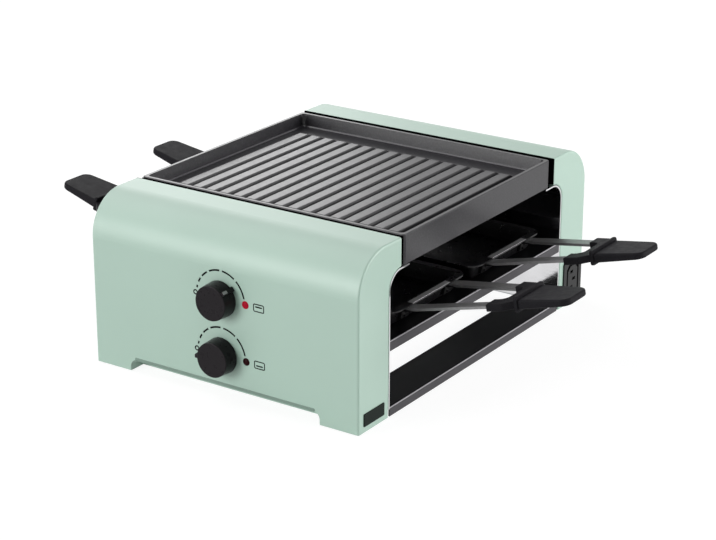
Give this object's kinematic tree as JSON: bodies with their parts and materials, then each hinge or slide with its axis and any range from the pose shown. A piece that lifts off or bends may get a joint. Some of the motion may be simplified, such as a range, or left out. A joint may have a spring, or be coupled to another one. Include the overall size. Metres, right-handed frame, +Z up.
{
  "type": "raclette grill",
  "caption": "Tabletop raclette grill with a ribbed lift-off plate, an open two-tier bay between painted end housings and long-handled sliding pans.",
  "frame": {"origin": "centre of the whole outline on the table plane", "axes": "+X to the right along the two housings, +Y from the knobs to the rear, +Z up"},
  "size_m": [0.4892, 0.357, 0.14],
  "materials": {
    "mint_paint": "satin mint green enamel",
    "polished_steel": "polished sheet",
    "zinc_sheet": "plain zinc plated sheet",
    "black_enamel": "satin black coating on sheet steel",
    "cast_plate": "cast, dark non-stick coating",
    "pan_coating": "black non-stick coating on sheet steel",
    "arm_steel": "bright flat strip",
    "grip_plastic": "fine matt black",
    "knob_plastic": "satin black",
    "lamp_red": "clear red",
    "dark_metal": "oxidised tube",
    "foot_rubber": "matt black",
    "ceramic": "matt light ceramic",
    "socket_plastic": "matt black",
    "contact_brass": "plain"
  },
  "bodies": {
    "base": {"front_housing": "mint_paint", "rear_housing": "mint_paint", "front_liner": "polished_steel", "rear_liner": "polished_steel", "front_base_plate": "zinc_sheet", "rear_base_plate": "zinc_sheet", "right_rail": "black_enamel", "left_rail": "black_enamel", "front_right_foot": "foot_rubber", "front_left_foot": "foot_rubber", "rear_right_foot": "foot_rubber", "rear_left_foot": "foot_rubber", "base_screws": "zinc_sheet", "heater_shelf": "black_enamel", "shelf_brackets": "zinc_sheet", "heat_shield": "zinc_sheet", "lower_element": "dark_metal", "upper_element": "dark_metal", "element_clips": "zinc_sheet", "element_hangers": "zinc_sheet", "upper_thermostat": "ceramic", "lower_thermostat": "ceramic", "upper_pilot_lens": "lamp_red", "lower_pilot_lens": "lamp_red", "upper_pilot_lamp": "socket_plastic", "lower_pilot_lamp": "socket_plastic", "control_bracket": "zinc_sheet", "thermostat_nuts": "zinc_sheet", "power_outlet": "socket_plastic", "power_inlet": "socket_plastic", "inlet_pins": "contact_brass", "terminal_block": "ceramic"},
    "grill_plate": {"grill_plate": "cast_plate"},
    "front_right_pan": {"front_right_pan": "pan_coating", "front_right_arms": "arm_steel", "front_right_rivets": "arm_steel", "front_right_grip": "grip_plastic"},
    "rear_right_pan": {"rear_right_pan": "pan_coating", "rear_right_arms": "arm_steel", "rear_right_rivets": "arm_steel", "rear_right_grip": "grip_plastic"},
    "front_left_pan": {"front_left_pan": "pan_coating", "front_left_arms": "arm_steel", "front_left_rivets": "arm_steel", "front_left_grip": "grip_plastic"},
    "rear_left_pan": {"rear_left_pan": "pan_coating", "rear_left_arms": "arm_steel", "rear_left_rivets": "arm_steel", "rear_left_grip": "grip_plastic"},
    "upper_control": {"upper_knob": "knob_plastic", "upper_spindle": "zinc_sheet"},
    "lower_control": {"lower_knob": "knob_plastic", "lower_spindle": "zinc_sheet"}
  },
  "joints": [
    {"name": "plate_lift", "type": "slide", "parent": "base", "child": "grill_plate", "axis": [0, 0, 1], "range_m": [0, 0.06]},
    {"name": "front_right_pan_slide", "type": "slide", "parent": "base", "child": "front_right_pan", "axis": [1, 0, 0], "range_m": [0, 0.13]},
    {"name": "rear_right_pan_slide", "type": "slide", "parent": "base", "child": "rear_right_pan", "axis": [1, 0, 0], "range_m": [0, 0.13]},
    {"name": "front_left_pan_slide", "type": "slide", "parent": "base", "child": "front_left_pan", "axis": [-1, 0, 0], "range_m": [0, 0.13]},
    {"name": "rear_left_pan_slide", "type": "slide", "parent": "base", "child": "rear_left_pan", "axis": [-1, 0, 0], "range_m": [0, 0.13]},
    {"name": "upper_knob_turn", "type": "hinge", "parent": "base", "child": "upper_control", "pos_m": [0, -0.1655, 0.082], "axis": [0, 1, 0], "range_deg": [-139, 30]},
    {"name": "lower_knob_turn", "type": "hinge", "parent": "base", "child": "lower_control", "pos_m": [0, -0.1655, 0.0357], "axis": [0, 1, 0], "range_deg": [0, 169]}
  ]
}
